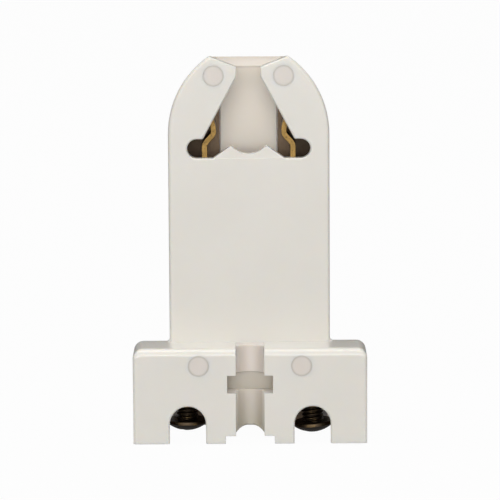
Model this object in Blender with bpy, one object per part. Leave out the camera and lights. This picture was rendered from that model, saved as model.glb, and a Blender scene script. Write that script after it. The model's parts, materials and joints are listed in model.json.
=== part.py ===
"""Tall holder for one end of a two-pin fluorescent tube.

Metres, +Z up, the lamp side faces -Y. The origin is the middle of the
mounting face, halfway through the depth of the holder.
"""

import math

import bmesh
import bpy
from mathutils import Matrix, Vector

# Tall body
BODY_WIDTH = 0.02505
BODY_DEPTH = 0.0100
BODY_HEIGHT = 0.0597
CROWN_RADIUS = 0.0148
CROWN_RISE = 0.01215
CROWN_FALL = 0.00095
FRONT_WALL = 0.0018
SIDE_WALL = 0.0015
EDGE_ROUND = 0.0005
MOUTH_MARGIN = 0.0005

# Base block
BASE_WIDTH = 0.0363
BASE_HEIGHT = 0.01492
BASE_STEP = 0.0065
EAR_DEPTH = 0.0080
BASE_WALL = 0.0015
BASE_ROOF = 0.0014
BASE_SIDE_WALL = 0.0010
BASE_CORNER = 0.0015
BASE_LIP = 0.0012
SHOULDER_FILLET = 0.0006

# Pin opening
PIN_SPACING = 0.0127
PIN_DROP = 0.01438
ENTRY_WIDTH = 0.0037
ENTRY_DROP = 0.0017
ENTRY_LENGTH = 0.0015
SLOT_HEIGHT = 0.0030
PIN_RUNOUT = 0.003225
MOUTH_RUNOUT = 0.00078
HUMP_WIDTH = 0.0111
HUMP_PEAKS = 0.0055
HUMP_RISE = 0.00193
DIP_RISE = 0.00065
HUMP_SET_BACK = 0.00012
OPENING_CHAMFER = 0.0002

# Wire arches, mounting channel and nut pocket
ARCH_WIDTH = 0.00562
ARCH_HEIGHT = 0.00589
FOOT_GAP_WIDTH = 0.0076
FOOT_GAP_HEIGHT = 0.00122
CHANNEL_WIDTH = 0.0044
CHANNEL_WALL_DEPTH = 0.00285
GROOVE_DEPTH = 0.0039
POCKET_WIDTH = 0.0071
POCKET_BOTTOM = 0.00792
POCKET_HEIGHT = 0.0028
POCKET_DEPTH = 0.0043
RELIEF_HEIGHT = 0.00232
WIRE_GAP_HEIGHT = 0.0046

# Rear cover
COVER_THICKNESS = 0.0016
PIN_ROOM = 0.0078
PILLAR_WIDTH = 0.0089
PILLAR_DROP = 0.00223
PILLAR_BOTTOM = 0.0160
LEAD_IN_WIDTH = 0.0102
LEAD_IN_DEPTH = 0.0014
COLUMN_WIDTH = 0.0090
LOCATING_RIB = 0.0008
RIB_HEIGHT = 0.0010
CORE_WIDTH = 0.00275
CORE_WALL = 0.0015

# Pegs and their bosses
PEG_RADIUS = 0.00157
UPPER_PEG_OFFSET = 0.00544
UPPER_PEG_DROP = 0.00303
LOWER_PEG_OFFSET = 0.00798
LOWER_PEG_DROP = 0.00266
PEG_FIT = 0.00005
BOSS_WALL = 0.0005
UPPER_BOSS_LENGTH = 0.0030
POST_RADIUS = 0.00195

# Contacts
STRIP = 0.00085
PLATE_GAUGE = 0.0005
PLATE_WIDTH = 0.0052
PLATE_CORNER = 0.0012
PLATE_FOOT = 0.0004
PLATE_DROP = 0.00708
FOOT_HEIGHT = 0.0055
LEAF_WIDTH = 0.0054
LEAF_INSET = 0.0053
LEAF_START = 0.0190
LEAF_STRAIGHT = 0.0050
PIN_CLEARANCE = 0.00053
CATCH_REACH = 0.00089
CATCH_LIFT = 0.00023
CATCH_RISE = 0.0022
TIP_FLARE = 0.0015
BEND_RADIUS = 0.0011

# Terminal screws
HEAD_SIDE_GAP = 0.00198
SCREW_SETBACK = 0.00485
THREAD_RADIUS = 0.00175
THREAD_FIT = 0.00008
HEAD_RADIUS = 0.0032
HEAD_RIM = 0.00065
HEAD_DOME = 0.0010
HEAD_GAP = 0.0025
SHANK_LENGTH = 0.0040
DRIVER_SLOT_WIDTH = 0.0009
DRIVER_SLOT_DEPTH = 0.0009
DRIVER_SLOT_TURN = math.radians(35.0)
RIGHT_SCREW_DROP = 0.00035
RIGHT_SCREW_LEAN = math.radians(-5.0)

# Clearance between mouldings and between a moulding and a contact
SEAT = 0.00015
# How far a cutter runs past the face that it leaves
PAST = 0.0010

# Facets: on a whole turn, on a crown arc, on a wire arch, on a lip, on any other curve, on an edge
ROUND_STEPS = 40
CROWN_STEPS = 16
ARCH_STEPS = 18
LIP_STEPS = 8
CURVE_STEPS = 6
EDGE_STEPS = 5

# Places that follow from the sizes
DEPTH = BASE_STEP + BODY_DEPTH
BASE_FRONT = -DEPTH / 2
BODY_FRONT = BASE_FRONT + BASE_STEP
BACK = DEPTH / 2
CAVITY_FRONT = BODY_FRONT + FRONT_WALL
COVER_FRONT = BACK - COVER_THICKNESS
HOUSING_BACK = COVER_FRONT - SEAT
PILLAR_FRONT = BODY_FRONT + PIN_ROOM
COLUMN_FRONT = BASE_FRONT + CHANNEL_WALL_DEPTH
COLUMN_TOP = BASE_HEIGHT - BASE_ROOF - SEAT
HALF_BODY = BODY_WIDTH / 2
HALF_BASE = BASE_WIDTH / 2
CROWN_SPRING = BODY_HEIGHT - CROWN_RISE
PIN_HEIGHT = BODY_HEIGHT - PIN_DROP
ENTRY_TOP = BODY_HEIGHT - ENTRY_DROP
SLOT_LENGTH = PIN_SPACING + 2 * PIN_RUNOUT
MOUTH_WIDTH = PIN_SPACING + 2 * MOUTH_RUNOUT
SLOT_FLOOR = PIN_HEIGHT - SLOT_HEIGHT / 2
SLOT_ROOF = PIN_HEIGHT + SLOT_HEIGHT / 2
PILLAR_TOP = BODY_HEIGHT - PILLAR_DROP
COVER_TOP = BODY_HEIGHT - CROWN_FALL
UPPER_PEG = (UPPER_PEG_OFFSET, BODY_HEIGHT - UPPER_PEG_DROP)
LOWER_PEG = (LOWER_PEG_OFFSET, BASE_HEIGHT - LOWER_PEG_DROP)
PLATE_FRONT = COVER_FRONT - SEAT - PLATE_GAUGE
PLATE_TOP = BODY_HEIGHT - PLATE_DROP
INSIDE_EDGE = HALF_BODY - SIDE_WALL - SEAT
LEAF_FRONT = CAVITY_FRONT + SEAT
LEAF_REST = PIN_SPACING / 2 + PIN_CLEARANCE
LEAF_CATCH = PIN_SPACING / 2 - CATCH_REACH
SCREW_OFFSET = COLUMN_WIDTH / 2 + HEAD_SIDE_GAP + HEAD_RADIUS


# Materials

def material(name, colour, roughness, metallic=0.0):
    made = bpy.data.materials.new(name)
    made.use_nodes = True
    shader = made.node_tree.nodes["Principled BSDF"]
    shader.inputs["Base Color"].default_value = (*colour, 1.0)
    shader.inputs["Roughness"].default_value = roughness
    shader.inputs["Metallic"].default_value = metallic
    return made


# Outlines, as lists of (across, up) points

def arc(centre, radius, start, end, steps=CURVE_STEPS):
    """Points on an arc, angles in degrees, both ends included."""
    points = []
    for i in range(steps + 1):
        angle = math.radians(start + (end - start) * i / steps)
        points.append((centre[0] + radius * math.cos(angle), centre[1] + radius * math.sin(angle)))
    return points


def mirrored(half):
    """Close a right-hand half outline, bottom to top, with its mirror image."""
    return half + [(-x, z) for x, z in reversed(half) if x > 1e-7]


def offset(outline, distance):
    """Move every edge of a counter-clockwise outline outwards by a distance."""
    moved = []
    count = len(outline)
    for i in range(count):
        before, here, after = (Vector(outline[(i + k) % count]) for k in (-1, 0, 1))
        into = (here - before).normalized()
        out = (after - here).normalized()
        normal_in = Vector((into.y, -into.x))
        normal_out = Vector((out.y, -out.x))
        mitre = (normal_in + normal_out).normalized()
        reach = distance / max(mitre.dot(normal_in), 0.4)
        moved.append(tuple(here + mitre * reach))
    return moved


def flat_top_half():
    """Half the width of the flat between the two crown arcs."""
    return HALF_BODY - CROWN_RADIUS + math.sqrt(CROWN_RADIUS ** 2 - CROWN_RISE ** 2)


def body_outline(inset, depth, bottom=0.0):
    """Straight sides, two crown arcs and a flat top, at a depth behind the face."""
    radius = CROWN_RADIUS - inset
    fall = CROWN_FALL * max(0.0, depth - EDGE_ROUND) / (BODY_DEPTH - EDGE_ROUND)
    centre = (HALF_BODY - CROWN_RADIUS, CROWN_SPRING - fall)
    lift = math.degrees(math.asin((CROWN_RISE - inset) / radius))
    half = [(HALF_BODY - inset, bottom)] + arc(centre, radius, 0.0, lift, CROWN_STEPS)
    return mirrored(half)


def base_outline(side_inset, top_inset):
    """A block with two round top corners."""
    side = HALF_BASE - side_inset
    top = BASE_HEIGHT - top_inset
    centre = (HALF_BASE - BASE_CORNER, BASE_HEIGHT - BASE_CORNER)
    half = [(side, 0.0)]
    for x, z in arc((0.0, 0.0), 1.0, 0.0, 90.0, LIP_STEPS):
        half.append((centre[0] + x * (side - centre[0]), centre[1] + z * (top - centre[1])))
    return mirrored(half)


def opening_outline():
    """The pin opening: lead-in, entry, spread mouth, slot and W-shaped floor."""
    half_entry = ENTRY_WIDTH / 2
    end_radius = SLOT_HEIGHT / 2
    end_centre = (SLOT_LENGTH / 2 - end_radius, PIN_HEIGHT)
    corner = flat_top_half()
    slope = ENTRY_DROP / (corner - half_entry)
    beyond = 2 * PAST
    peak = HUMP_PEAKS / 2
    sagitta = HUMP_RISE - DIP_RISE
    dip_radius = (peak ** 2 + sagitta ** 2) / (2 * sagitta)
    reach = math.degrees(math.asin(peak / dip_radius))
    dip_centre = (0.0, SLOT_FLOOR + DIP_RISE + dip_radius)
    half = arc(dip_centre, dip_radius, -90.0, -90.0 + reach)
    half.append((HUMP_WIDTH / 2, SLOT_FLOOR))
    half += arc(end_centre, end_radius, -90.0, 90.0, 2 * CURVE_STEPS)
    half.append((MOUTH_WIDTH / 2, SLOT_ROOF))
    half.append((half_entry, ENTRY_TOP - ENTRY_LENGTH))
    half.append((half_entry, ENTRY_TOP))
    half.append((corner + beyond, BODY_HEIGHT + beyond * slope))
    return mirrored(half)


def arch_outline(centre):
    """A round-topped doorway that runs down past the mounting face."""
    radius = ARCH_WIDTH / 2
    top = arc((centre, ARCH_HEIGHT - radius), radius, 0.0, 180.0, ARCH_STEPS)
    return [(centre + radius, -PAST)] + top + [(centre - radius, -PAST)]


def box_outline(left, right, low, high):
    return [(left, low), (right, low), (right, high), (left, high)]


# Solids

def finish(name, mesh, finish_material=None, smooth_angle=32.0):
    """Turn a bmesh into an object with its faces pointing outwards."""
    bmesh.ops.recalc_face_normals(mesh, faces=mesh.faces)
    data = bpy.data.meshes.new(name)
    mesh.to_mesh(data)
    mesh.free()
    data.shade_smooth()
    data.set_sharp_from_angle(angle=math.radians(smooth_angle))
    solid = bpy.data.objects.new(name, data)
    bpy.context.collection.objects.link(solid)
    if finish_material:
        data.materials.append(finish_material)
    return solid


def loft(name, sections, finish_material=None):
    """Skin a row of outlines, each with its depth, and cap both ends."""
    mesh = bmesh.new()
    rings = []
    for depth, outline in sections:
        rings.append([mesh.verts.new((x, depth, z)) for x, z in outline])
    count = len(rings[0])
    for near, far in zip(rings, rings[1:]):
        for i in range(count):
            j = (i + 1) % count
            mesh.faces.new((near[i], near[j], far[j], far[i]))
    mesh.faces.new(rings[0])
    mesh.faces.new(rings[-1])
    return finish(name, mesh, finish_material)


def prism(name, outline, start, end, finish_material=None):
    """An XZ outline run along Y."""
    return loft(name, [(start, outline), (end, outline)], finish_material)


def swap_axes(solid, swap):
    """Lay a Y prism along another axis: swap names where its x, y, z come from."""
    for vertex in solid.data.vertices:
        old = vertex.co.copy()
        vertex.co = Vector([old[i] for i in swap])
    mesh = bmesh.new()
    mesh.from_mesh(solid.data)
    bmesh.ops.recalc_face_normals(mesh, faces=mesh.faces)
    mesh.to_mesh(solid.data)
    mesh.free()
    return solid


def prism_up(name, outline, low, high):
    """An XY outline run along Z."""
    return swap_axes(prism(name, outline, low, high), (0, 2, 1))


def prism_across(name, outline, left, right):
    """A YZ outline run along X."""
    return swap_axes(prism(name, outline, left, right), (1, 0, 2))


def rod(name, centre, radius, start, end, finish_material=None):
    """A round rod along Y at an (x, z) centre."""
    outline = arc(centre, radius, 0.0, 360.0 - 360.0 / ROUND_STEPS, ROUND_STEPS - 1)
    return prism(name, outline, start, end, finish_material)


def combine(solid, helper, operation):
    """Add a Boolean that joins a helper to a solid or cuts it away."""
    modifier = solid.modifiers.new(f"{operation.lower()}_{helper.name}", "BOOLEAN")
    modifier.operation = operation
    modifier.solver = "EXACT"
    modifier.object = helper
    helper.hide_render = True
    helper.hide_set(True)
    helper.display_type = "WIRE"


def join(solid, *helpers):
    for helper in helpers:
        combine(solid, helper, "UNION")


def cut(solid, *helpers):
    for helper in helpers:
        combine(solid, helper, "DIFFERENCE")


def round_depths(radius, steps=EDGE_STEPS):
    """Depths at which a quarter round turns, from its face inwards."""
    return [radius * (1 - math.cos(math.radians(90.0 * i / steps))) for i in range(steps + 1)]


def quarter_inset(radius, depth):
    """How far a round edge stands in at a depth behind its face."""
    if depth >= radius:
        return 0.0
    return radius - math.sqrt(radius ** 2 - (radius - depth) ** 2)


def chamfered_cutter(name, outline, face, end):
    """A cutter along +Y that breaks the edge where it enters a face."""
    wide = offset(outline, OPENING_CHAMFER)
    lip = face + OPENING_CHAMFER
    widest = offset(outline, OPENING_CHAMFER + PAST)
    return loft(name, [(face - PAST, widest), (face, wide), (lip, outline), (end, outline)])


# Front housing

def body_block():
    """The tall body with a round front edge, its crown falling towards the back."""
    sections = []
    for depth in round_depths(EDGE_ROUND) + [HOUSING_BACK - BODY_FRONT]:
        outline = body_outline(quarter_inset(EDGE_ROUND, depth), depth)
        sections.append((BODY_FRONT + depth, outline))
    return loft("front_housing", sections)


def base_block():
    """The wide base: a full round along its top front edge, a fine one up its sides."""
    depths = sorted({*round_depths(EDGE_ROUND), *round_depths(BASE_LIP, LIP_STEPS)})
    sections = []
    for depth in depths:
        outline = base_outline(quarter_inset(EDGE_ROUND, depth), quarter_inset(BASE_LIP, depth))
        sections.append((BASE_FRONT + depth, outline))
    sections.append((BASE_FRONT + EAR_DEPTH, base_outline(0.0, 0.0)))
    return loft("base_block", sections)


def shoulder_fillets():
    """Concave fillets where the body stands on the base's two shoulders."""
    start = BODY_FRONT + EDGE_ROUND / 2
    end = BASE_FRONT + EAR_DEPTH - EDGE_ROUND / 2
    buried = SHOULDER_FILLET / 2
    fillets = []
    for side in (-1, 1):
        centre = (HALF_BODY + SHOULDER_FILLET, BASE_HEIGHT + SHOULDER_FILLET)
        curve = arc(centre, SHOULDER_FILLET, 180.0, 270.0)
        outline = curve + [(centre[0], BASE_HEIGHT - buried), (HALF_BODY - buried, BASE_HEIGHT - buried),
                           (HALF_BODY - buried, centre[1])]
        outline = [(side * x, z) for x, z in outline]
        fillets.append(prism(f"shoulder_fillet_{side}", outline, start, end))
    return fillets


def body_cavity():
    """The room for the contacts, open at the back, the bottom and the top."""
    end = BACK + PAST
    sections = [(y, body_outline(SIDE_WALL, y - BODY_FRONT, -PAST)) for y in (CAVITY_FRONT, end)]
    half_mouth = flat_top_half() - MOUTH_MARGIN
    mouth = box_outline(-half_mouth, half_mouth, PIN_HEIGHT, BODY_HEIGHT + PAST)
    return loft("body_room", sections), prism("top_mouth", mouth, CAVITY_FRONT, end)


def terminal_room():
    """The room behind the base's front wall, with the thicker middle for the channel."""
    side = HALF_BASE - BASE_SIDE_WALL
    middle = COLUMN_WIDTH / 2 + SEAT
    wall = BASE_FRONT + BASE_WALL
    step = COLUMN_FRONT - SEAT
    end = CAVITY_FRONT + SEAT
    plan = [(-side, end), (-side, wall), (-middle, wall), (-middle, step),
            (middle, step), (middle, wall), (side, wall), (side, end)]
    return prism_up("terminal_room", plan, -PAST, BASE_HEIGHT - BASE_ROOF)


def front_housing(finish_material):
    housing = body_block()
    housing.data.materials.append(finish_material)
    join(housing, base_block(), *shoulder_fillets())
    cut(housing, *body_cavity(), terminal_room())
    bosses = (("upper", UPPER_PEG, CAVITY_FRONT - SEAT, CAVITY_FRONT + UPPER_BOSS_LENGTH),
              ("lower", LOWER_PEG, BASE_FRONT + BASE_WALL - SEAT, CAVITY_FRONT - SEAT))
    for side in (-1, 1):
        for name, (x, z), start, end in bosses:
            radius = PEG_RADIUS + PEG_FIT + BOSS_WALL
            join(housing, rod(f"{name}_boss_{side}", (side * x, z), radius, start, end))
    cut(housing, chamfered_cutter("pin_opening", opening_outline(), BODY_FRONT, CAVITY_FRONT + SEAT))
    hump_face = box_outline(-HUMP_WIDTH / 2, HUMP_WIDTH / 2, SLOT_FLOOR, SLOT_ROOF)
    cut(housing, prism("hump_face", hump_face, BODY_FRONT - PAST, BODY_FRONT + HUMP_SET_BACK))
    behind_wall = BASE_FRONT + BASE_WALL + SEAT
    for side in (-1, 1):
        outline = arch_outline(side * SCREW_OFFSET)
        cut(housing, chamfered_cutter(f"wire_arch_{side}", outline, BASE_FRONT, behind_wall))
        for name, (x, z), start in (("upper", UPPER_PEG, BODY_FRONT), ("lower", LOWER_PEG, BASE_FRONT)):
            hole = rod(f"{name}_peg_hole_{side}", (side * x, z), PEG_RADIUS + PEG_FIT, start - PAST,
                       HOUSING_BACK)
            cut(housing, hole)
    wire_gap = box_outline(CAVITY_FRONT, BACK, -PAST, WIRE_GAP_HEIGHT)
    cut(housing, prism_across("wire_gap", wire_gap, -HALF_BODY - PAST, HALF_BODY + PAST))
    half_gap = FOOT_GAP_WIDTH / 2
    half_channel = CHANNEL_WIDTH / 2
    half_pocket = POCKET_WIDTH / 2
    gap = box_outline(-half_gap, half_gap, -PAST, FOOT_GAP_HEIGHT)
    channel = box_outline(-half_channel, half_channel, -PAST, BASE_HEIGHT - BASE_ROOF / 2)
    pocket = box_outline(-half_pocket, half_pocket, POCKET_BOTTOM, POCKET_BOTTOM + POCKET_HEIGHT)
    for name, outline in (("foot_gap", gap), ("channel", channel), ("nut_pocket", pocket)):
        cut(housing, prism(name, outline, BASE_FRONT - PAST, COLUMN_FRONT))
    notch = box_outline(-half_channel, half_channel, BASE_HEIGHT - BASE_ROOF - SEAT, BASE_HEIGHT + PAST)
    cut(housing, prism("roof_notch", notch, BASE_FRONT - PAST, BODY_FRONT - 2 * SEAT))
    return housing


# Rear cover

def cover_plate():
    """The back plate, carrying on the body's outline to a round rear edge."""
    sections = []
    for depth in round_depths(EDGE_ROUND) + [COVER_THICKNESS]:
        outline = body_outline(quarter_inset(EDGE_ROUND, depth), BODY_DEPTH - depth)
        sections.append((BACK - depth, outline))
    return loft("rear_cover", sections)


def groove_outline():
    """Plan of the shallow round groove down the column's front."""
    half = CHANNEL_WIDTH / 2 - SEAT
    sagitta = GROOVE_DEPTH - CHANNEL_WALL_DEPTH
    radius = (half ** 2 + sagitta ** 2) / (2 * sagitta)
    reach = math.degrees(math.asin(min(half / radius, 1.0)))
    centre = (0.0, COLUMN_FRONT + sagitta - radius)
    curve = arc(centre, radius, 90.0 - reach, 90.0 + reach, 2 * CURVE_STEPS)
    return curve + [(-half, COLUMN_FRONT - PAST), (half, COLUMN_FRONT - PAST)]


def rear_cover(finish_material):
    cover = cover_plate()
    cover.data.materials.append(finish_material)
    half_pillar = PILLAR_WIDTH / 2
    half_column = COLUMN_WIDTH / 2
    buried = COVER_FRONT + COVER_THICKNESS / 2
    pillar = box_outline(-half_pillar, half_pillar, PILLAR_BOTTOM, PILLAR_TOP + RIB_HEIGHT)
    join(cover, prism("pillar", pillar, PILLAR_FRONT, buried))
    column = box_outline(-half_column, half_column, FOOT_GAP_HEIGHT, COLUMN_TOP)
    join(cover, prism("column", column, COLUMN_FRONT, buried))
    half_tongue = CHANNEL_WIDTH / 2 - PEG_FIT
    tongue = box_outline(-half_tongue, half_tongue, COLUMN_TOP - PAST, BASE_HEIGHT)
    join(cover, prism("tongue", tongue, COLUMN_FRONT, BODY_FRONT - 3 * SEAT))
    for side in (-1, 1):
        for name, (x, z), front in (("upper", UPPER_PEG, BODY_FRONT), ("lower", LOWER_PEG, BASE_FRONT)):
            join(cover, rod(f"{name}_peg_{side}", (side * x, z), PEG_RADIUS, front, buried))
        post = (side * LOWER_PEG[0], LOWER_PEG[1])
        join(cover, rod(f"post_{side}", post, POST_RADIUS, CAVITY_FRONT + SEAT, buried))
        rib_edges = sorted((side * INSIDE_EDGE, side * (INSIDE_EDGE - LOCATING_RIB)))
        rib = box_outline(*rib_edges, BASE_HEIGHT, CROWN_SPRING - CROWN_FALL)
        join(cover, prism(f"locating_rib_{side}", rib, COVER_FRONT - RIB_HEIGHT, buried))
    slope = LEAD_IN_DEPTH / (COVER_TOP - PILLAR_TOP)
    lead = [(PILLAR_FRONT - PAST * slope, PILLAR_TOP - PAST),
            (PILLAR_FRONT + (COVER_TOP + PAST - PILLAR_TOP) * slope, COVER_TOP + PAST),
            (PILLAR_FRONT - PAST * slope, COVER_TOP + PAST)]
    cut(cover, prism_across("lead_in", lead, -LEAD_IN_WIDTH / 2, LEAD_IN_WIDTH / 2))
    cut(cover, prism_up("groove", groove_outline(), -PAST, BASE_HEIGHT + PAST))
    half_pocket = POCKET_WIDTH / 2
    pocket = box_outline(-half_pocket, half_pocket, POCKET_BOTTOM, POCKET_BOTTOM + POCKET_HEIGHT)
    cut(cover, prism("pocket_back", pocket, COLUMN_FRONT - PAST, BASE_FRONT + POCKET_DEPTH))
    half_relief = CHANNEL_WIDTH / 2
    rise = RELIEF_HEIGHT - FOOT_GAP_HEIGHT
    relief_radius = (half_relief ** 2 + rise ** 2) / (2 * rise)
    cut(cover, rod("column_relief", (0.0, RELIEF_HEIGHT - relief_radius), relief_radius,
                   COLUMN_FRONT - PAST, CAVITY_FRONT))
    core_low = FOOT_GAP_HEIGHT + CORE_WALL
    core_high = COLUMN_TOP - CORE_WALL
    core_front = BASE_FRONT + GROOVE_DEPTH + CORE_WALL
    for side in (-1, 1):
        near = half_column - CORE_WALL
        edges = sorted((side * near, side * (near - CORE_WIDTH)))
        core = box_outline(*edges, core_low, core_high)
        cut(cover, prism(f"core_{side}", core, core_front, BACK + PAST))
    return cover


# Contacts

def leaf_path():
    """The strip's centre line as seen from the front, from foot to tip."""
    foot = FOOT_HEIGHT + STRIP / 2
    turn = BEND_RADIUS + STRIP / 2
    path = [(SCREW_OFFSET + HEAD_RADIUS - STRIP / 4, foot)]
    path += arc((LEAF_INSET + turn, foot + turn), turn, 270.0, 180.0)
    spread = (LEAF_INSET, LEAF_START), (LEAF_REST, SLOT_FLOOR - LEAF_STRAIGHT)
    catch = (LEAF_REST, PIN_HEIGHT + CATCH_LIFT), (LEAF_CATCH, PIN_HEIGHT + CATCH_LIFT + CATCH_RISE)
    for (x, low), (x_end, high) in (spread, catch):
        for i in range(CURVE_STEPS + 1):
            part = i / CURVE_STEPS
            ease = (1 - math.cos(math.pi * part)) / 2
            path.append((x + (x_end - x) * ease, low + (high - low) * part))
    x, low = path[-1]
    for i in range(1, CURVE_STEPS + 1):
        part = i / CURVE_STEPS
        ease = 1 - math.cos(math.pi / 2 * part)
        path.append((x + TIP_FLARE * ease, low + (PLATE_TOP - STRIP - low) * part))
    return path


def ribbon(path, gauge):
    """Give a centre line its thickness."""
    left, right = [], []
    for i, point in enumerate(path):
        before = Vector(path[max(i - 1, 0)])
        after = Vector(path[min(i + 1, len(path) - 1)])
        along = (after - before).normalized()
        normal = Vector((along.y, -along.x)) * gauge / 2
        left.append(tuple(Vector(point) + normal))
        right.append(tuple(Vector(point) - normal))
    return left + list(reversed(right))


def screw_frame(side):
    """Where a screw's axis passes through the middle of the contact's foot."""
    place = Vector((side * SCREW_OFFSET, BASE_FRONT + SCREW_SETBACK, FOOT_HEIGHT + STRIP / 2))
    lean = RIGHT_SCREW_LEAN if side > 0 else 0.0
    return Matrix.Translation(place) @ Matrix.Rotation(lean, 4, "Y")


def turned(name, profile, frame, finish_material=None):
    """Spin an (out, up) profile that starts and ends on the axis."""
    mesh = bmesh.new()
    rings = []
    for out, up in profile:
        if out < 1e-7:
            rings.append([mesh.verts.new(frame @ Vector((0.0, 0.0, up)))])
            continue
        ring = []
        for i in range(ROUND_STEPS):
            angle = 2 * math.pi * i / ROUND_STEPS
            spot = Vector((out * math.cos(angle), out * math.sin(angle), up))
            ring.append(mesh.verts.new(frame @ spot))
        rings.append(ring)
    for low, high in zip(rings, rings[1:]):
        for i in range(ROUND_STEPS):
            j = (i + 1) % ROUND_STEPS
            if len(low) == 1:
                mesh.faces.new((low[0], high[j], high[i]))
            elif len(high) == 1:
                mesh.faces.new((low[i], low[j], high[0]))
            else:
                mesh.faces.new((low[i], low[j], high[j], high[i]))
    return finish(name, mesh, finish_material)


def contact(name, side, finish_material):
    outline = [(side * x, z) for x, z in ribbon(leaf_path(), STRIP)]
    front = BASE_FRONT + BASE_WALL + SEAT
    leaf_back = PLATE_FRONT + PLATE_GAUGE / 2
    piece = prism(name, outline, front, leaf_back, finish_material)
    inner, outer = sorted((0.0, side * HALF_BODY))
    lip = FOOT_HEIGHT + STRIP + BEND_RADIUS / 2
    ahead = box_outline(front - PAST, LEAF_FRONT, lip, PLATE_TOP + PAST)
    behind = box_outline(LEAF_FRONT + LEAF_WIDTH, leaf_back + PAST, SLOT_FLOOR - SLOT_HEIGHT,
                         PLATE_TOP + PAST)
    cut(piece, prism_across(f"leaf_front_{side}", ahead, inner, outer),
        prism_across(f"leaf_back_{side}", behind, inner, outer))
    toe = box_outline(*sorted((side * (INSIDE_EDGE - SEAT), side * HALF_BASE)), 0.0, lip)
    cut(piece, prism(f"toe_{side}", toe, CAVITY_FRONT - SEAT, BACK))
    plate_inner = PILLAR_WIDTH / 2 + SEAT
    plate_outer = plate_inner + PLATE_WIDTH
    plate_low = BASE_HEIGHT - 2 * SEAT
    tall = [(plate_inner, plate_low), (plate_outer, plate_low), (plate_outer, PLATE_TOP - PLATE_CORNER),
            (plate_outer - PLATE_CORNER, PLATE_TOP), (plate_inner, PLATE_TOP)]
    tall = [(side * x, z) for x, z in tall]
    wide = box_outline(*sorted((side * plate_inner, side * INSIDE_EDGE)), PLATE_FOOT, BASE_HEIGHT - SEAT)
    for word, outline in (("tall_plate", tall), ("wide_plate", wide)):
        join(piece, prism(f"{word}_{side}", outline, PLATE_FRONT, PLATE_FRONT + PLATE_GAUGE))
    post = (side * LOWER_PEG[0], LOWER_PEG[1])
    cut(piece, rod(f"post_hole_{side}", post, POST_RADIUS + SEAT, PLATE_FRONT - SEAT, COVER_FRONT))
    bore = THREAD_RADIUS + THREAD_FIT
    reach = 2 * STRIP
    profile = [(0.0, -reach), (bore, -reach), (bore, reach), (0.0, reach)]
    cut(piece, turned(f"tapping_{side}", profile, screw_frame(side)))
    return piece


# Terminal screws

def terminal_screw(name, side, finish_material):
    """A binding-head screw, head down, backed out of the contact's foot."""
    drop = RIGHT_SCREW_DROP if side > 0 else 0.0
    top_of_head = -(STRIP / 2 + HEAD_GAP + drop)
    rim_low = top_of_head - HEAD_RIM
    dome_radius = (HEAD_RADIUS ** 2 + HEAD_DOME ** 2) / (2 * HEAD_DOME)
    spread = math.degrees(math.asin(HEAD_RADIUS / dome_radius))
    dome = arc((0.0, rim_low - HEAD_DOME + dome_radius), dome_radius, -90.0, -90.0 + spread)
    ease = HEAD_RIM / 4
    tip = top_of_head + SHANK_LENGTH
    profile = [(max(out, 0.0), up) for out, up in dome]
    profile += [(HEAD_RADIUS, top_of_head - ease), (HEAD_RADIUS - ease, top_of_head),
                (THREAD_RADIUS, top_of_head), (THREAD_RADIUS, tip - 2 * ease),
                (THREAD_RADIUS - 2 * ease, tip), (0.0, tip)]
    frame = screw_frame(side)
    screw = turned(name, profile, frame, finish_material)
    half = DRIVER_SLOT_WIDTH / 2
    crown = rim_low - HEAD_DOME
    slot = prism(f"driver_slot_{side}", box_outline(-half, half, crown - PAST, crown + DRIVER_SLOT_DEPTH),
                 -HEAD_RADIUS - PAST, HEAD_RADIUS + PAST)
    slot.data.transform(frame @ Matrix.Rotation(side * DRIVER_SLOT_TURN, 4, "Z"))
    cut(screw, slot)
    return screw


def clear_scene():
    for old in list(bpy.data.objects):
        bpy.data.objects.remove(old, do_unlink=True)


def main():
    clear_scene()
    cream = material("cream_moulding", (0.73, 0.70, 0.62), 0.38)
    blush = material("blush_moulding", (0.68, 0.62, 0.55), 0.40)
    brass = material("spring_brass", (0.52, 0.36, 0.13), 0.35, 1.0)
    bronze = material("dark_bronze", (0.09, 0.06, 0.035), 0.38, 1.0)
    front_housing(cream)
    rear_cover(blush)
    for word, side in (("left", -1), ("right", 1)):
        contact(f"contact_{word}", side, brass)
        terminal_screw(f"terminal_screw_{word}", side, bronze)


main()
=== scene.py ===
"""Finishes a packed fluorescent tube holder and sets a plain white studio round it.

The packed solids stay the frame. The two mouldings and the two contacts get fine rounded
edges, the screws get their threads, and every surface gets a material made of nodes.
"""

import json
import math

import bmesh
import bpy
from bpy.props import FloatProperty, FloatVectorProperty, IntProperty, PointerProperty
from mathutils import Matrix, Vector


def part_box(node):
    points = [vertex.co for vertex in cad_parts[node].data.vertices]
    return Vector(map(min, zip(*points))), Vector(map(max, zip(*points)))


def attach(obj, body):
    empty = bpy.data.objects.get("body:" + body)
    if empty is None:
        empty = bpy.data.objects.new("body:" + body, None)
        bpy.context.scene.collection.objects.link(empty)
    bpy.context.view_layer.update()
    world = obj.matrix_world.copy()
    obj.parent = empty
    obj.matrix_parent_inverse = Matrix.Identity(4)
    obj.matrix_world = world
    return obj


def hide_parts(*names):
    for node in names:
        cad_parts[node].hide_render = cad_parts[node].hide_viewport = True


bl_info = {
    "name": "Tube Holder Looks",
    "version": (1, 0, 0),
    "blender": (4, 5, 0),
    "location": "View3D > Sidebar > Holder",
    "description": "Finishes a packed fluorescent tube holder and sets a white studio round it",
    "category": "Object",
}

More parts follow.
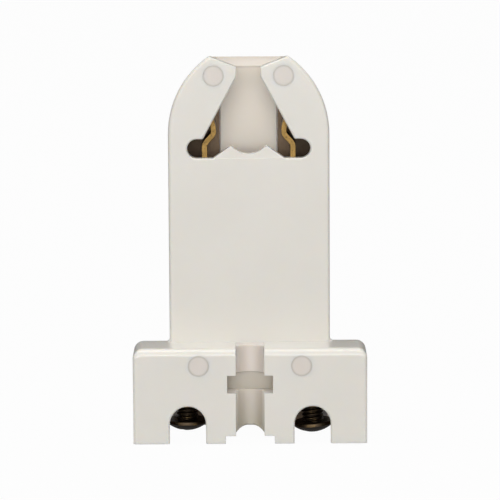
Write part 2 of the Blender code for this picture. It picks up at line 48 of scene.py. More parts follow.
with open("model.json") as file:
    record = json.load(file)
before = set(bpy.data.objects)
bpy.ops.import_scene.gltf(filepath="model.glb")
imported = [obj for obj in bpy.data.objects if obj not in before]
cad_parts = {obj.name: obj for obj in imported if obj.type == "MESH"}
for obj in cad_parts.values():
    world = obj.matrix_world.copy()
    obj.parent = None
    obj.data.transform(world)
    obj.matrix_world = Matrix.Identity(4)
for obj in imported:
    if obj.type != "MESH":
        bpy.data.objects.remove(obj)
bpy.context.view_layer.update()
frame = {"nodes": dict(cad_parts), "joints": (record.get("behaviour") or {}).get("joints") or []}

BASE_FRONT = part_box("front_housing")[0].y
SCREW_LOW, SCREW_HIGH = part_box("terminal_screw_left")
SCREW_RADIUS = (SCREW_HIGH.x - SCREW_LOW.x) / 2
SCREW_LENGTH = SCREW_HIGH.z - SCREW_LOW.z
SIDES = {"left": -1, "right": 1}
PEGS = ((0.00544, 0.05667), (0.00798, 0.01226))
PEG_RADIUS = 0.00157
SMOOTH_ANGLE = 32


# Helpers for colour and meshes

def display(red, green, blue):
    """A colour given as it looks on a display, 0 to 255, in linear values by the sRGB curve."""
    linear = []
    for value in (red, green, blue):
        share = value / 255
        linear.append(share / 12.92 if share <= 0.04045 else ((share + 0.055) / 1.055) ** 2.4)
    return tuple(linear)


def solid_colour(colour, share=1.0):
    """A share of a colour, with nothing seen through it."""
    return (*(min(1.0, part * share) for part in colour), 1.0)


def new_object(name, data):
    """An object in the scene that shows a mesh, a lamp or a camera."""
    made = bpy.data.objects.new(name, data)
    bpy.context.scene.collection.objects.link(made)
    return made


def new_mesh(name, work):
    """A mesh from a bmesh, which is let go."""
    mesh = bpy.data.meshes.new(name)
    work.to_mesh(mesh)
    work.free()
    return mesh


def shade(mesh, degrees):
    """Smooth shading that breaks where faces meet at more than an angle."""
    mesh.shade_smooth()
    mesh.set_sharp_from_angle(angle=math.radians(degrees))


def clean_copy(node, name):
    """A copy of a packed solid with its triangles merged back into whole faces."""
    merge = 2e-6
    sliver = 6e-5
    flat = math.radians(0.6)
    work = bmesh.new()
    work.from_mesh(frame["nodes"][node].data)
    bmesh.ops.remove_doubles(work, verts=work.verts, dist=merge)
    bmesh.ops.dissolve_limit(work, angle_limit=flat, verts=work.verts, edges=work.edges)
    bmesh.ops.dissolve_degenerate(work, dist=sliver, edges=work.edges)
    mark_edges(work)
    return new_object(name, new_mesh(name, work))


def mark_edges(work):
    """Give a bevel weight to each sharp edge that has room round it for a fine round."""
    room = 0.00012
    sharp = math.radians(50)
    weight = work.edges.layers.float.new("bevel_weight_edge")
    for edge in work.edges:
        nearest = min(near.calc_length() for vertex in edge.verts for near in vertex.link_edges)
        if edge.calc_face_angle(0.0) > sharp and nearest > room and not round_a_peg(edge):
            edge[weight] = 1.0


def swell_pegs(mesh):
    """Widen the pegs till only a hair of their clearance shows."""
    fit = 0.00003
    growth = 0.00004
    for vertex in mesh.vertices:
        for x, z in PEGS:
            out = Vector((abs(vertex.co.x) - x, vertex.co.z - z))
            if abs(out.length - PEG_RADIUS) < fit:
                out *= 1 + growth / out.length
                vertex.co.x = math.copysign(x + out.x, vertex.co.x)
                vertex.co.z = z + out.y


def open_relief(mesh):
    """Run the round relief under the column through to near the cover's plate."""
    stop, near, plate = 0.00005, 0.00002, 0.0060
    half, top = 0.00225, 0.0024
    for vertex in mesh.vertices:
        if abs(vertex.co.y - stop) < near and abs(vertex.co.x) < half and vertex.co.z < top:
            vertex.co.y = plate


def cut_across(mesh, height):
    """Cut a mesh's faces at a height, so that the shading of a round below stays below."""
    work = bmesh.new()
    work.from_mesh(mesh)
    everything = work.verts[:] + work.edges[:] + work.faces[:]
    bmesh.ops.bisect_plane(work, geom=everything, plane_co=(0.0, 0.0, height),
                           plane_no=(0.0, 0.0, 1.0))
    work.to_mesh(mesh)
    work.free()


def round_a_peg(edge):
    """Whether an edge runs round the rim of a peg or of its hole, which stay sharp."""
    fit = 0.0001
    for x, z in PEGS:
        reaches = [math.hypot(abs(vertex.co.x) - x, vertex.co.z - z) for vertex in edge.verts]
        if all(abs(reach - PEG_RADIUS) < fit for reach in reaches):
            return True
    return False


def soften(piece, width, segments):
    """Round the marked edges of a piece by a width, as a mould or a die leaves them."""
    bevel = piece.modifiers.new("fine_round", "BEVEL")
    bevel.width = width
    bevel.segments = segments
    bevel.limit_method = "WEIGHT"
    bevel.use_clamp_overlap = False
    level = piece.modifiers.new("level_faces", "WEIGHTED_NORMAL")
    level.keep_sharp = True


def dress(piece, node, body, material):
    """Give a piece its material and let it stand for its packed solid."""
    piece.data.materials.clear()
    piece.data.materials.append(material)
    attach(piece, body)
    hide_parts(node)


class Signal:
    """A socket of a node tree. Arithmetic on it adds Math nodes, and node() adds any other."""

    def __init__(self, tree, socket=None):
        self.tree = tree
        self.socket = socket

    def node(self, kind, settings=None, output=0, **values):
        """Add a node: its settings first, then its sockets by name, spaces as underscores."""
        made = self.tree.nodes.new(kind)
        for name, value in (settings or {}).items():
            setattr(made, name, value)
        for name, value in values.items():
            self.feed(made, name, value)
        return Signal(self.tree, made.outputs[output])

    def feed(self, made, name, value):
        """Link or set one input, found by its number, as i0, or by its name."""
        numbered = name[0] == "i" and name[1:].isdigit()
        socket = made.inputs[int(name[1:]) if numbered else name.replace("_", " ")]
        if isinstance(value, Signal):
            self.tree.links.new(value.socket, socket)
        else:
            socket.default_value = value

    def other(self, output):
        """Another output of the node that gives this one, by its name or number."""
        return Signal(self.tree, self.socket.node.outputs[output])

    def math(self, operation, *values):
        """A Math node on some values, which need not hold this one."""
        inputs = {f"i{i}": value for i, value in enumerate(values)}
        return self.node("ShaderNodeMath", {"operation": operation}, **inputs)

    def __add__(self, other):
        return self.math("ADD", self, other)

    __radd__ = __add__

    def __sub__(self, other):
        return self.math("SUBTRACT", self, other)

    def __rsub__(self, other):
        return self.math("SUBTRACT", other, self)

    def __mul__(self, other):
        return self.math("MULTIPLY", self, other)

    __rmul__ = __mul__

    def __truediv__(self, other):
        return self.math("DIVIDE", self, other)

    def __neg__(self):
        return self.math("SUBTRACT", 0.0, self)

    def __abs__(self):
        return self.math("ABSOLUTE", self)

    def band(self, low, high):
        """0 below low, 1 above high, smooth between."""
        return self.node("ShaderNodeMapRange", {"interpolation_type": "SMOOTHSTEP"},
                         Value=self, From_Min=low, From_Max=high)

    def between(self, rise, fall):
        """1 from one band to another: up over the first and down over the second."""
        return self.band(*rise) * (1 - self.band(*fall))

    def blend(self, first, second):
        """A colour that goes from first at 0 to second at 1 of this value."""
        return self.node("ShaderNodeMix", {"data_type": "RGBA"}, output=2,
                         i0=self, i6=first, i7=second)

    def axis(self, index):
        """One part of a vector."""
        return self.node("ShaderNodeSeparateXYZ", output=index, Vector=self)

    def noise(self, size, detail=2.0, roughness=0.5, seed=0.0):
        """Noise on this vector with features about a size across, in metres."""
        return self.node("ShaderNodeTexNoise", {"noise_dimensions": "4D"}, Vector=self, W=seed,
                         Scale=1 / size, Detail=detail, Roughness=roughness)


def start_material(name):
    """A new material: its Principled shader, and a signal with the object's coordinates."""
    made = bpy.data.materials.new(name)
    made.use_nodes = True
    tree = made.node_tree
    shader = tree.nodes["Principled BSDF"]
    place = Signal(tree).node("ShaderNodeTexCoord", output="Object")
    return made, shader, place


def connect(place, shader, **inputs):
    """Link or set a shader's inputs, spaces as underscores."""
    for name, value in inputs.items():
        place.feed(shader, name, value)


def bumped(height, distance, strength):
    """A normal from a height signal."""
    return height.node("ShaderNodeBump", Height=height, Distance=distance, Strength=strength)


# Sizes and colours that a user would change

class HolderMouldings(bpy.types.PropertyGroup):
    """The two plastic mouldings."""

    cream: FloatVectorProperty(
        name="Cream", description="Colour of the front housing", subtype="COLOR", size=3,
        min=0.0, max=1.0, default=display(222, 218, 210))
    blush: FloatVectorProperty(
        name="Blush", description="Colour of the rear cover and its pegs", subtype="COLOR", size=3,
        min=0.0, max=1.0, default=display(218, 208, 199))
    # This lighter colour is painted light on the pillar inside the body.
    pillar: FloatVectorProperty(
        name="Pillar", description="Colour of the cover inside the body", subtype="COLOR", size=3,
        min=0.0, max=1.0, default=display(230, 221, 207))
    # This dark colour is painted shade inside the two wire rooms.
    room_shade: FloatVectorProperty(
        name="Oil", description="Colour of the plastic in the wire rooms", subtype="COLOR", size=3,
        min=0.0, max=1.0, default=display(74, 58, 42))
    # This colour is painted shade just inside each peg's rim and on the pillar's lead-in.
    peg_rim: FloatVectorProperty(
        name="Peg rim", description="Colour just inside a peg's rim and on the pillar's lead-in",
        subtype="COLOR", size=3, min=0.0, max=1.0, default=display(203, 193, 180))
    # This colour is painted shade towards the foot of the cover's channel and in its nut pocket.
    channel_shade: FloatVectorProperty(
        name="Channel grey", description="Colour of the cover where handling has greyed it",
        subtype="COLOR", size=3, min=0.0, max=1.0, default=display(162, 155, 133))
    roughness: FloatProperty(
        name="Roughness", description="Roughness of the moulded faces",
        min=0.0, max=1.0, default=0.36)
    gloss: FloatProperty(
        name="Gloss", description="Share of a clear glossy skin over the moulded faces",
        min=0.0, max=1.0, default=0.8)
    edge_round: FloatProperty(
        name="Edge round", description="Width of the round on each sharp moulded edge",
        unit="LENGTH", min=0.0, default=0.00005)
    edge_segments: IntProperty(
        name="Edge segments", description="Faces across each round", min=1, max=6, default=2)


class HolderContacts(bpy.types.PropertyGroup):
    """The two stamped brass contacts."""

    sheared: FloatVectorProperty(
        name="Sheared edge", description="Colour of the brass on its cut edges",
        subtype="COLOR", size=3, min=0.0, max=1.0, default=display(134, 107, 60))
    tarnish: FloatVectorProperty(
        name="Tarnish", description="Colour of the brass on its rolled faces",
        subtype="COLOR", size=3, min=0.0, max=1.0, default=display(104, 88, 72))
    edge_round: FloatProperty(
        name="Edge round", description="Width of the round on the strip's edges",
        unit="LENGTH", min=0.0, default=0.00005)


class HolderScrews(bpy.types.PropertyGroup):
    """The two terminal screws."""

    bronze: FloatVectorProperty(
        name="Bronze", description="Colour of the blackened metal", subtype="COLOR", size=3,
        min=0.0, max=1.0, default=display(60, 50, 39))
    worn: FloatVectorProperty(
        name="Worn metal", description="Colour where the metal is rubbed bare",
        subtype="COLOR", size=3, min=0.0, max=1.0, default=display(150, 122, 66))
    crest_radius: FloatProperty(
        name="Crest radius", description="Outer radius of the thread",
        unit="LENGTH", min=0.0, default=0.00175)
    thread_depth: FloatProperty(
        name="Thread depth", description="Height of the thread from root to crest",
        unit="LENGTH", min=0.0, default=0.00032)
    pitch: FloatProperty(
        name="Pitch", description="Rise of one turn", unit="LENGTH", min=0.0001, default=0.0006)
    shank_length: FloatProperty(
        name="Shank length", description="Length of the thread above the head",
        unit="LENGTH", min=0.0, default=0.00385)
    rim: FloatProperty(
        name="Rim", description="Height of the head's upright rim",
        unit="LENGTH", min=0.0, default=0.00055)
    slot_width: FloatProperty(
        name="Slot width", description="Width of the driver slot",
        unit="LENGTH", min=0.0, default=0.0009)
    slot_turn: FloatProperty(
        name="Slot turn", description="Direction of the driver slot", subtype="ANGLE",
        default=math.radians(35.0))


class HolderStudio(bpy.types.PropertyGroup):
    """Camera and light."""

    distance: FloatProperty(
        name="Distance", description="From the camera to the point it looks at",
        unit="LENGTH", default=0.530)
    tilt: FloatProperty(
        name="Tilt", description="How far the camera looks down",
        subtype="ANGLE", default=math.radians(8.5))
    roll: FloatProperty(
        name="Roll", description="How far the camera is turned about its own line of sight",
        subtype="ANGLE", default=math.radians(0.33))
    lens: FloatProperty(
        name="Lens", description="Focal length in millimetres on a 36 mm sensor", default=245.0)
    sky: FloatProperty(
        name="Sky", description="Strength of the even light from all round", min=0.0, default=0.25)
    key: FloatProperty(
        name="Key", description="Power of the wide soft lamp overhead, in watts",
        min=0.0, default=7.2)
    fill: FloatProperty(
        name="Fill", description="Power of the large lamp by the camera, in watts",
        min=0.0, default=4.6)


# Materials

def moulded_plastic(name, colour, seed, tints):
    """Satin moulded plastic: faint flow clouds, a fine grain and a few dust specks.

    tints are pairs: how much of a colour there is at each place, from a function, and the colour;
    they paint light and shade.
    """
    cloud_size, cloud_light, cloud_shadow = 0.009, 1.008, (0.990, 0.990, 0.982)
    grain_size, ripple_size, ripple_share, relief = 0.00035, 0.0016, 0.25, 0.000012
    cell_size, speck_edge, chosen = 0.0042, (0.018, 0.032), (0.55, 0.60)
    speck_share, speck_shade, rough_spread = 0.35, 0.45, 0.06
    settings = bpy.context.scene.holder_mouldings
    made, shader, place = start_material(name)
    clouds = place.noise(cloud_size, detail=3.0, seed=seed)
    grain = place.noise(grain_size, seed=seed + 1)
    shadow = solid_colour([part * share for part, share in zip(colour, cloud_shadow)])
    toned = clouds.band(0.3, 0.7).blend(shadow, solid_colour(colour, cloud_light))
    # Each tint lays painted light or shade over the moulded colour.
    for share, tint in tints:
        toned = share(place).blend(toned, solid_colour(tint))
    cells = place.node("ShaderNodeTexVoronoi", {"feature": "F1"}, Vector=place, Scale=1 / cell_size)
    chance = cells.other("Color").axis(0)
    specks = (1 - cells.band(*speck_edge)) * chance.band(*chosen) * speck_share
    dusted = specks.blend(toned, solid_colour(colour, speck_shade))
    rough = settings.roughness - rough_spread / 2 + grain * rough_spread
    height = grain + place.noise(ripple_size, detail=1.0, seed=seed + 2) * ripple_share
    connect(place, shader, Base_Color=dusted, Roughness=rough,
            Normal=bumped(height, distance=relief, strength=0.5))
    connect(place, shader, Subsurface_Weight=0.35, Subsurface_Radius=(0.0020, 0.0014, 0.0008),
            Subsurface_Scale=1.0, IOR=1.55, Coat_Weight=settings.gloss, Coat_Roughness=0.3)
    return made


# Where the plastic gets painted light and shade, in bands of width, depth and height

IN_BODY = (0.0, 0.002)
PILLAR_BACK = (0.0078, 0.0081)
LEAD_IN_FOOT = (0.0570, 0.0575)


def painted_pillar_light(place):
    """1 on the pillar inside the body, below its lead-in, rising with height: painted light."""
    rise = (0.025, 0.045)
    return place.axis(1).band(*IN_BODY) * place.axis(2).between(rise, LEAD_IN_FOOT)


def painted_lead_in_shade(place):
    """1 on the slope that leads the pins in over the pillar, which gets painted shade."""
    return place.axis(1).between(IN_BODY, PILLAR_BACK) * place.axis(2).band(*LEAD_IN_FOOT)


def painted_room_shade(place):
    """1 inside the two wire rooms, whose walls get painted shade."""
    width = ((0.0052, 0.0060), (0.0122, 0.0124))
    depth = ((BASE_FRONT + 0.0010, BASE_FRONT + 0.0020), (0.0068, 0.0072))
    height = ((0.0003, 0.0010), (0.0060, 0.0110))
    across, deep, up = (place.axis(i) for i in range(3))
    return abs(across).between(*width) * deep.between(*depth) * up.between(*height)


def peg_rim(place):
    """1 in the soft dark ring of painted shade just inside the rim of each peg's end."""
    inner = (PEG_RADIUS - 0.00032, PEG_RADIUS - 0.00008)
    outer = (PEG_RADIUS, PEG_RADIUS * 1.1)
    behind_ends = (-0.0014, -0.0012)
    across, deep, up = (place.axis(i) for i in range(3))
    reaches = []
    for x, z in PEGS:
        off, rise = abs(across) - x, up - z
        reaches.append(place.math("SQRT", off * off + rise * rise))
    reach = place.math("MINIMUM", *reaches)
    return reach.between(inner, outer) * (1 - deep.band(*behind_ends))


def painted_channel_shade(place):
    """How much painted shade the cover gets: more towards the foot of its channel and in its nut
    pocket.
    """
    channel_top, channel_share, pocket_share = 0.0105, 0.85, 0.45
    pocket_back = (BASE_FRONT + 0.00395, BASE_FRONT + 0.0042)
    pocket_height = ((0.0078, 0.0080), (0.0107, 0.0108))
    unshaded_from = (0.0030, 0.0045)
    deep, up = place.axis(1), place.axis(2)
    channel = place.math("MAXIMUM", 1 - up / channel_top, 0.0) * channel_share
    pocket = deep.band(*pocket_back) * up.between(*pocket_height) * pocket_share
    return (channel + pocket) * (1 - deep.band(*unshaded_from))


def contact_brass():
    """Rolled brass: brown tarnish on its faces, bright gold with dark pits on its sheared edges,
    and painted shade on the plate out beyond each strip.
    """
    bright_depth, fade, plate = 0.0085, 0.0006, (0.0071, 0.0076)
    settings = bpy.context.scene.holder_contacts
    made, shader, place = start_material("contact_brass")
    dull_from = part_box("contact_left")[0].y + bright_depth
    near = 1 - place.axis(1).band(dull_from, dull_from + fade)
    edge = abs(place.other("Normal").axis(1)).band(0.55, 0.9) * near
    pits = place.noise(size=0.00025, seed=4.0).band(0.58, 0.70)
    streaks = place.noise(size=0.0011, detail=3.0, seed=5.0)
    gold = streaks.band(0.35, 0.65).blend(
        solid_colour(settings.sheared, 0.72), solid_colour(settings.sheared, 1.1))
    pitted = (pits * 0.65).blend(gold, solid_colour(settings.tarnish, 0.35))
    brown = streaks.band(0.3, 0.7).blend(
        solid_colour(settings.tarnish, 0.8), solid_colour(settings.tarnish))
    # Painted shade: the plate out beyond the strip takes half the tarnish colour.
    outer_plate_shade = abs(place.axis(0)).band(*plate)
    brown = outer_plate_shade.blend(brown, solid_colour(settings.tarnish, 0.5))
    connect(place, shader, Base_Color=edge.blend(brown, pitted), Metallic=0.9,
            Roughness=0.34 + streaks * 0.2 + pits * 0.15,
            Normal=bumped(pits + streaks, distance=0.00002, strength=0.5))
    return made


def screw_bronze():
    """Blackened screw metal, rubbed to gold in places, with painted shade on its underside that
    also dulls its reflection.
    """
    settings = bpy.context.scene.holder_screws
    made, shader, place = start_material("screw_bronze")
    rub = place.noise(size=0.0008, detail=4.0, roughness=0.65, seed=7.0)
    stain = place.noise(size=0.0003, seed=8.0)
    worn = rub.band(0.5, 0.78) * 0.5
    coloured = worn.blend(solid_colour(settings.bronze), solid_colour(settings.worn))
    # Painted shade on faces that look down: a darker colour, less metal and more roughness.
    underside_shade = (-place.other("Normal").axis(2)).band(0.15, 0.6)
    coloured = underside_shade.blend(coloured, solid_colour(settings.bronze, 0.2))
    connect(place, shader, Base_Color=coloured, Metallic=1 - underside_shade, IOR=1.2,
            Roughness=0.3 + stain * 0.16 + underside_shade * 0.35,
            Normal=bumped(rub + stain, distance=0.00001, strength=0.4))
    return made


def seen_rays(place):
    """1 for rays from the camera, off gloss and through glass, 0 for the rest."""
    ray = place.node("ShaderNodeLightPath")
    camera, glossy, through = (ray.other(kind) for kind in (
        "Is Camera Ray", "Is Glossy Ray", "Is Transmission Ray"))
    return place.math("MAXIMUM", camera, place.math("MAXIMUM", glossy, through))


def seen_white(name, shaded_share):
    """White to the camera and in reflections, with a share of its own lit and shaded colour."""
    made, shader, place = start_material(name)
    tree = made.node_tree
    seen = seen_rays(place) * (1 - shaded_share)
    glow = place.node("ShaderNodeEmission", Color=(1.0, 1.0, 1.0, 1.0), Strength=1.0)
    connect(place, shader, Base_Color=(0.45, 0.45, 0.45, 1.0), Roughness=0.9)
    lit = Signal(tree, shader.outputs[0])
    mixed = place.node("ShaderNodeMixShader", i0=seen, i1=lit, i2=glow)
    tree.links.new(mixed.socket, tree.nodes["Material Output"].inputs["Surface"])
    return made


# Pieces

class HOLDER_OT_housing(bpy.types.Operator):
    """Round the front housing's edges and finish it in cream plastic"""

    bl_idname = "holder.housing"
    bl_label = "Front housing"

    def execute(self, context):
        settings = context.scene.holder_mouldings
        piece = clean_copy("front_housing", "housing_moulding")
        shade(piece.data, SMOOTH_ANGLE)
        soften(piece, settings.edge_round, settings.edge_segments)
        # The tint paints shade inside the wire rooms.
        tints = ((painted_room_shade, settings.room_shade),)
        dress(piece, "front_housing", "holder",
              moulded_plastic("cream_plastic", settings.cream, seed=1.0, tints=tints))
        return {"FINISHED"}


class HOLDER_OT_cover(bpy.types.Operator):
    """Round the rear cover's edges and finish it in blush plastic"""

    bl_idname = "holder.cover"
    bl_label = "Rear cover"

    def execute(self, context):
        settings = context.scene.holder_mouldings
        above_relief = 0.00255
        piece = clean_copy("rear_cover", "cover_moulding")
        swell_pegs(piece.data)
        open_relief(piece.data)
        cut_across(piece.data, above_relief)
        shade(piece.data, SMOOTH_ANGLE)
        soften(piece, settings.edge_round, settings.edge_segments)
        # The tints paint light on the pillar, and shade in the channel, the nut pocket, the wire
        # rooms, on the lead-in and round the peg rims.
        tints = ((painted_pillar_light, settings.pillar), (painted_channel_shade, settings.channel_shade),
                 (painted_room_shade, settings.room_shade), (painted_lead_in_shade, settings.peg_rim), (peg_rim, settings.peg_rim))
        dress(piece, "rear_cover", "holder",
              moulded_plastic("blush_plastic", settings.blush, seed=11.0, tints=tints))
        return {"FINISHED"}


class HOLDER_OT_contacts(bpy.types.Operator):
    """Round the edges of the two contacts and finish them in brass"""

    bl_idname = "holder.contacts"
    bl_label = "Contacts"

    def execute(self, context):
        settings = context.scene.holder_contacts
        segments = 2
        brass = contact_brass()
        for side in SIDES:
            piece = clean_copy(f"contact_{side}", f"contact_strip_{side}")
            shade(piece.data, SMOOTH_ANGLE)
            soften(piece, settings.edge_round, segments)
            dress(piece, f"contact_{side}", "holder", brass)
        return {"FINISHED"}


def thread_tree():
    """Geometry nodes that put a threaded shank on a screw's head and cut its driver slot."""
    around, rows = 56, 96
    overlap = 0.0003
    root_share, flank_share, run_out_share = 0.1, 0.75, 1.6
    tree = bpy.data.node_groups.new("screw_thread", "GeometryNodeTree")
    tree.interface.new_socket("Head", in_out="INPUT", socket_type="NodeSocketGeometry")
    names = ("Crest Radius", "Thread Depth", "Pitch", "Shank Length", "Slot Width", "Slot Depth",
             "Slot Turn", "Head Height")
    for name in names:
        tree.interface.new_socket(name, in_out="INPUT", socket_type="NodeSocketFloat")
    tree.interface.new_socket("Finish", in_out="INPUT", socket_type="NodeSocketMaterial")
    tree.interface.new_socket("Screw", in_out="OUTPUT", socket_type="NodeSocketGeometry")
    start = Signal(tree)
    given = start.node("NodeGroupInput")
    size = {name: given.other(name) for name in names}
    length = size["Shank Length"] + overlap
    rod = start.node("GeometryNodeMeshCylinder", Vertices=around, Side_Segments=rows,
                     Radius=1.0, Depth=length)
    place = start.node("GeometryNodeInputPosition")
    across, along, up = (place.axis(i) for i in range(3))
    angle = start.math("ARCTAN2", along, across)
    turns = start.math("FRACT", up / size["Pitch"] - angle / (2 * math.pi))
    flank = (abs(turns * 2 - 1) - root_share) / flank_share
    height = start.math("MAXIMUM", start.math("MINIMUM", flank, 1.0), 0.0)
    to_tip = length / 2 - up
    taper = start.math("MINIMUM", to_tip / (size["Thread Depth"] * run_out_share), 1.0)
    radius = size["Crest Radius"] - size["Thread Depth"] * (1 - height * taper)
    moved = start.node("ShaderNodeCombineXYZ", X=start.math("COSINE", angle) * radius,
                       Y=start.math("SINE", angle) * radius, Z=up + length / 2 - overlap)
    thread = start.node("GeometryNodeSetPosition", Geometry=rod, Position=moved)
    union = start.node("GeometryNodeMeshBoolean", {"operation": "UNION", "solver": "EXACT"},
                       Mesh_2=given.other("Head"))
    start.feed(union.socket.node, "Mesh_2", thread)
    past_head = size["Crest Radius"] * 6
    bar_size = start.node("ShaderNodeCombineXYZ", X=size["Slot Width"], Y=past_head,
                          Z=size["Slot Depth"] * 2)
    bar = start.node("GeometryNodeMeshCube", Size=bar_size)
    crown = start.node("ShaderNodeCombineXYZ", Z=-size["Head Height"])
    turn = start.node("ShaderNodeCombineXYZ", Z=size["Slot Turn"])
    cutter = start.node("GeometryNodeTransform", Geometry=bar, Translation=crown, Rotation=turn)
    cut = start.node("GeometryNodeMeshBoolean", {"operation": "DIFFERENCE", "solver": "EXACT"},
                     Mesh_1=union, Mesh_2=cutter)
    whole = start.node("GeometryNodeRealizeInstances", Geometry=cut)
    finished = start.node("GeometryNodeSetMaterial", Geometry=whole, Material=given.other("Finish"))
    out = tree.nodes.new("NodeGroupOutput")
    tree.links.new(finished.socket, out.inputs["Screw"])
    return tree


def head_mesh(name, radius, rim, dome):
    """A binding head, dome down, with its bearing face at height zero."""
    steps, dome_rings, ease_rings = 64, 10, 5
    ease = rim * 0.35
    point = 1e-7
    dome_radius = (radius ** 2 + dome ** 2) / (2 * dome)
    spread = math.asin(radius / dome_radius)
    profile = []
    for i in range(dome_rings + 1):
        angle = spread * i / dome_rings
        out = dome_radius * math.sin(angle)
        profile.append((out, dome_radius * (1 - math.cos(angle)) - dome - rim))
    for i in range(1, ease_rings + 1):
        angle = math.radians(90 * i / ease_rings)
        profile.append((radius - ease * (1 - math.cos(angle)), -ease * (1 - math.sin(angle))))
    profile.append((0.0, 0.0))
    work = bmesh.new()
    rings = []
    for out, up in profile:
        turns = 1 if out < point else steps
        angles = [2 * math.pi * i / steps for i in range(turns)]
        rings.append([work.verts.new((out * math.cos(angle), out * math.sin(angle), up))
                      for angle in angles])
    for low, high in zip(rings, rings[1:]):
        for i in range(steps):
            j = (i + 1) % steps
            if len(low) == 1:
                work.faces.new((low[0], high[j], high[i]))
            elif len(high) == 1:
                work.faces.new((low[i], low[j], high[0]))
            else:
                work.faces.new((low[i], low[j], high[j], high[i]))
    bmesh.ops.recalc_face_normals(work, faces=work.faces)
    return new_mesh(name, work)


def screw_place(side):
    """Where a screw's bearing face lies: a shank's length below the middle of its packed tip."""
    near = 0.00001
    joint = next(j for j in frame["joints"] if j["name"] == f"terminal_{side}")
    up = -Vector(joint["axis"]).normalized()
    spots = [vertex.co for vertex in frame["nodes"][f"terminal_screw_{side}"].data.vertices]
    highest = max(spot.dot(up) for spot in spots)
    ring = [spot for spot in spots if highest - spot.dot(up) < near]
    tip = sum(ring, Vector()) / len(ring)
    bearing = tip - up * bpy.context.scene.holder_screws.shank_length
    turn = up.to_track_quat("Z", "Y").to_matrix().to_4x4()
    return Matrix.Translation(bearing) @ turn


def set_inputs(modifier, values):
    """Set a geometry modifier's inputs by their names."""
    sockets = modifier.node_group.interface.items_tree
    for socket in sockets:
        if socket.name in values:
            modifier[socket.identifier] = values[socket.name]


class HOLDER_OT_screws(bpy.types.Operator):
    """Build the two threaded terminal screws in blackened bronze"""

    bl_idname = "holder.screws"
    bl_label = "Terminal screws"

    def execute(self, context):
        settings = context.scene.holder_screws
        thread_angle = 38
        bronze = screw_bronze()
        tree = thread_tree()
        dome = SCREW_LENGTH - settings.shank_length - settings.rim
        for side, sign in SIDES.items():
            head = head_mesh(f"screw_head_{side}", SCREW_RADIUS, settings.rim, dome)
            maker = new_object(f"screw_maker_{side}", head)
            modifier = maker.modifiers.new("thread", "NODES")
            modifier.node_group = tree
            set_inputs(modifier, {
                "Crest Radius": settings.crest_radius, "Thread Depth": settings.thread_depth,
                "Pitch": settings.pitch, "Shank Length": settings.shank_length,
                "Slot Width": settings.slot_width, "Slot Depth": settings.slot_width,
                "Slot Turn": sign * settings.slot_turn, "Head Height": dome + settings.rim,
                "Finish": bronze})
            built = maker.evaluated_get(context.evaluated_depsgraph_get())
            made = bpy.data.meshes.new_from_object(built)
            bpy.data.objects.remove(maker)
            made.transform(screw_place(side))
            shade(made, thread_angle)
            piece = new_object(f"screw_{side}_threaded", made)
            dress(piece, f"terminal_screw_{side}", f"screw_{side}", bronze)
        return {"FINISHED"}


# Stage

def add_lamp(name, place, aim, size, watts):
    """A rectangular lamp at a place, pointed at another."""
    lamp = bpy.data.lights.new(name, "AREA")
    lamp.shape = "RECTANGLE"
    lamp.size, lamp.size_y = size
    lamp.energy = watts
    made = new_object(name, lamp)
    made.location = place
    made.rotation_euler = (Vector(aim) - Vector(place)).to_track_quat("-Z", "Y").to_euler()


def add_camera(settings):
    """A camera that looks down on the middle of the body's front face."""
    face_depth, face_middle, sensor, shift = 0.0065, 0.02944, 36.0, 0.0014
    aim = Vector((0.0, BASE_FRONT + face_depth, face_middle))
    back = Vector((0.0, -math.cos(settings.tilt), math.sin(settings.tilt)))
    camera = bpy.data.cameras.new("camera")
    camera.lens = settings.lens
    camera.sensor_width = sensor
    camera.shift_x = shift
    made = new_object("camera", camera)
    turn = (-back).to_track_quat("-Z", "Y").to_matrix().to_4x4()
    made.matrix_world = (Matrix.Translation(aim + back * settings.distance) @ turn
                         @ Matrix.Rotation(-settings.roll, 4, "Z"))
    bpy.context.scene.camera = made


def add_floor():
    """One sheet that is the floor and curves up behind as the backdrop."""
    half, side, top = 0.9, 1.2, 1.2
    bend, steps = 0.25, 12
    path = [(-half, 0.0), (half - bend, 0.0)]
    for i in range(1, steps + 1):
        angle = math.radians(90 * i / steps)
        path.append((half - bend + bend * math.sin(angle), bend * (1 - math.cos(angle))))
    path.append((half, top))
    work = bmesh.new()
    left, right = ([work.verts.new((x, y, z)) for y, z in path] for x in (-side, side))
    for i in range(len(path) - 1):
        work.faces.new((left[i], right[i], right[i + 1], left[i + 1]))
    mesh = new_mesh("studio_sheet", work)
    mesh.shade_smooth()
    mesh.materials.append(seen_white("sheet_white", shaded_share=0.03))
    made = new_object("studio_sheet", mesh)


def add_flag():
    """A dark flag behind the holder, seen only in reflections, that draws its pale edges."""
    inner, outer, top, lift = 0.06, 0.24, 0.16, 0.0008
    reach, steps = math.radians(100), 24
    work = bmesh.new()
    rows = []
    for out, up in ((inner, lift), (outer, lift), (outer, top)):
        angles = [-reach + 2 * reach * i / steps for i in range(steps + 1)]
        rows.append([work.verts.new((out * math.sin(angle), out * math.cos(angle), up))
                     for angle in angles])
    for low, high in zip(rows, rows[1:]):
        for i in range(steps):
            work.faces.new((low[i], low[i + 1], high[i + 1], high[i]))
    mesh = new_mesh("black_flag", work)
    made, shader, place = start_material("flag_black")
    connect(place, shader, Base_Color=(0.14, 0.14, 0.14, 1.0), Roughness=1.0)
    mesh.materials.append(made)
    flag = new_object("black_flag", mesh)
    for ray in ("camera", "diffuse", "transmission", "shadow", "volume_scatter"):
        setattr(flag, f"visible_{ray}", False)


def add_world(strength):
    """White in sight and in reflections, and an even light of a given strength for the rest."""
    world = bpy.data.worlds.new("studio")
    bpy.context.scene.world = world
    world.use_nodes = True
    tree = world.node_tree
    level = seen_rays(Signal(tree)) * (1 - strength) + strength
    background = tree.nodes["Background"]
    background.inputs["Color"].default_value = (1.0, 1.0, 1.0, 1.0)
    tree.links.new(level.socket, background.inputs["Strength"])


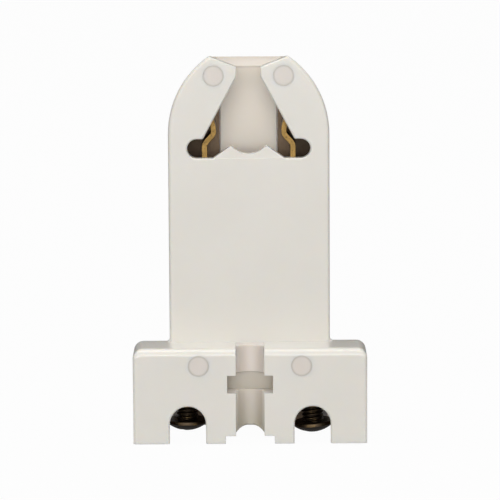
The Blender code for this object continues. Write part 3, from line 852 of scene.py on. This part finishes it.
class HOLDER_OT_stage(bpy.types.Operator):
    """Set the camera, the lamps, the white floor and the even light"""

    bl_idname = "holder.stage"
    bl_label = "Studio"

    def execute(self, context):
        settings = context.scene.holder_studio
        add_camera(settings)
        add_floor()
        add_flag()
        add_world(settings.sky)
        middle = (0.0, 0.0, 0.03)
        add_lamp("key", place=(-0.02, -0.08, 1.05), aim=middle, size=(1.6, 0.5),
                 watts=settings.key)
        add_lamp("fill", place=(-0.05, -0.86, 0.24), aim=middle, size=(0.8, 0.5),
                 watts=settings.fill)
        context.scene.view_settings.view_transform = "Standard"
        return {"FINISHED"}


class HOLDER_PT_looks(bpy.types.Panel):
    """Sizes, colours and steps of the holder's looks"""

    bl_idname = "HOLDER_PT_looks"
    bl_label = "Tube holder"
    bl_space_type = "VIEW_3D"
    bl_region_type = "UI"
    bl_category = "Holder"

    def draw(self, context):
        for name, group in SETTINGS.items():
            box = self.layout.box()
            box.label(text=group.__doc__)
            settings = getattr(context.scene, name)
            for prop in group.__annotations__:
                box.prop(settings, prop)
        for step in STEPS:
            self.layout.operator(step.bl_idname)


SETTINGS = {
    "holder_mouldings": HolderMouldings,
    "holder_contacts": HolderContacts,
    "holder_screws": HolderScrews,
    "holder_studio": HolderStudio,
}
STEPS = (HOLDER_OT_housing, HOLDER_OT_cover, HOLDER_OT_contacts, HOLDER_OT_screws, HOLDER_OT_stage)


def register():
    for name, group in SETTINGS.items():
        bpy.utils.register_class(group)
        setattr(bpy.types.Scene, name, PointerProperty(type=group))
    for step in STEPS:
        bpy.utils.register_class(step)
    bpy.utils.register_class(HOLDER_PT_looks)


def unregister():
    bpy.utils.unregister_class(HOLDER_PT_looks)
    for step in reversed(STEPS):
        bpy.utils.unregister_class(step)
    for name, group in reversed(SETTINGS.items()):
        delattr(bpy.types.Scene, name)
        bpy.utils.unregister_class(group)


def main():
    register()
    bpy.ops.holder.housing()
    bpy.ops.holder.cover()
    bpy.ops.holder.contacts()
    bpy.ops.holder.screws()
    bpy.ops.holder.stage()


if __name__ == "__main__":
    main()
